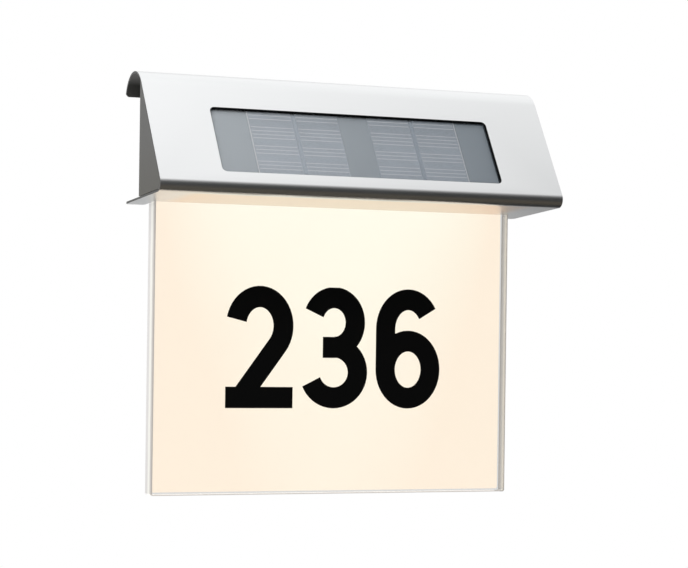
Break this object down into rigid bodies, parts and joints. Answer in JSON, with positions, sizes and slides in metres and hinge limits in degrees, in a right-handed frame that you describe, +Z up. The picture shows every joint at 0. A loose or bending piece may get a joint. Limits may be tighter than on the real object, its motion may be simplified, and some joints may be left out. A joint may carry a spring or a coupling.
{
  "type": "illuminated house number sign",
  "caption": "Solar house number light: bent steel hood with a solar window over a clear edge-lit panel, hung on a wall bracket.",
  "frame": {"origin": "midway between the wall bracket's two screw holes, on the wall's surface", "axes": "+X to the right seen from the front, +Y into the wall, so the front faces -Y, +Z up"},
  "size_m": [0.205, 0.0556, 0.199],
  "materials": {
    "bracket_steel": "satin stainless sheet",
    "hood_steel": "fine satin stainless sheet",
    "tape": "double sided foam tape",
    "housing_plastic": "fine textured moulding",
    "cover_plastic": "fine textured moulding",
    "seal_foam": "closed cell foam",
    "screw_steel": "turned stainless steel",
    "silicon": "silicon cell with printed fingers",
    "module_pane": "clear smooth sheet",
    "module_board": "grey board",
    "clear_acrylic": "clear with polished edges",
    "white_film": "white reflecting film",
    "holder_plastic": "fine textured moulding",
    "light_board": "white solder mask",
    "led_lens": "white case with a yellow lens",
    "hanger_steel": "satin stainless sheet",
    "circuit_green": "green solder mask",
    "chip_black": "moulded",
    "ferrite": "ferrite with copper winding",
    "capacitor_can": "sleeved can",
    "switch_black": "moulded",
    "knob_black": "moulded",
    "battery_sleeve": "printed shrink sleeve",
    "nickel_plate": "nickel plated spring steel",
    "wire_red": "insulated wire",
    "wire_black": "insulated wire",
    "wire_white": "insulated wire"
  },
  "bodies": {
    "bracket": {"wall_bracket": "bracket_steel"},
    "lamp": {"hood": "hood_steel", "hood_tape": "tape", "housing": "housing_plastic", "back_cover": "cover_plastic", "back_cover_seal": "seal_foam", "back_cover_screws": "screw_steel", "solar_seal": "seal_foam", "solar_cells": "silicon", "solar_pane": "module_pane", "solar_board": "module_board", "acrylic_panel": "clear_acrylic", "reflector_film": "white_film", "panel_holder": "holder_plastic", "panel_screws": "screw_steel", "holder_screws": "screw_steel", "led_board": "light_board", "leds": "led_lens", "hanger_plate": "hanger_steel", "hanger_screws": "screw_steel", "circuit_board": "circuit_green", "board_screws": "screw_steel", "driver_chip": "chip_black", "inductor": "ferrite", "capacitor": "capacitor_can", "switch_body": "switch_black", "batteries": "battery_sleeve", "battery_contacts": "nickel_plate", "solar_leads": "wire_red", "battery_leads": "wire_black", "led_leads": "wire_white"},
    "switch": {"switch_knob": "knob_black"}
  },
  "joints": [
    {"name": "lamp_lift", "type": "slide", "parent": "bracket", "child": "lamp", "axis": [0, 0, 1], "range_m": [0, 0.0065]},
    {"name": "switch_slide", "type": "slide", "parent": "lamp", "child": "switch", "axis": [1, 0, 0], "range_m": [0, 0.004]}
  ]
}
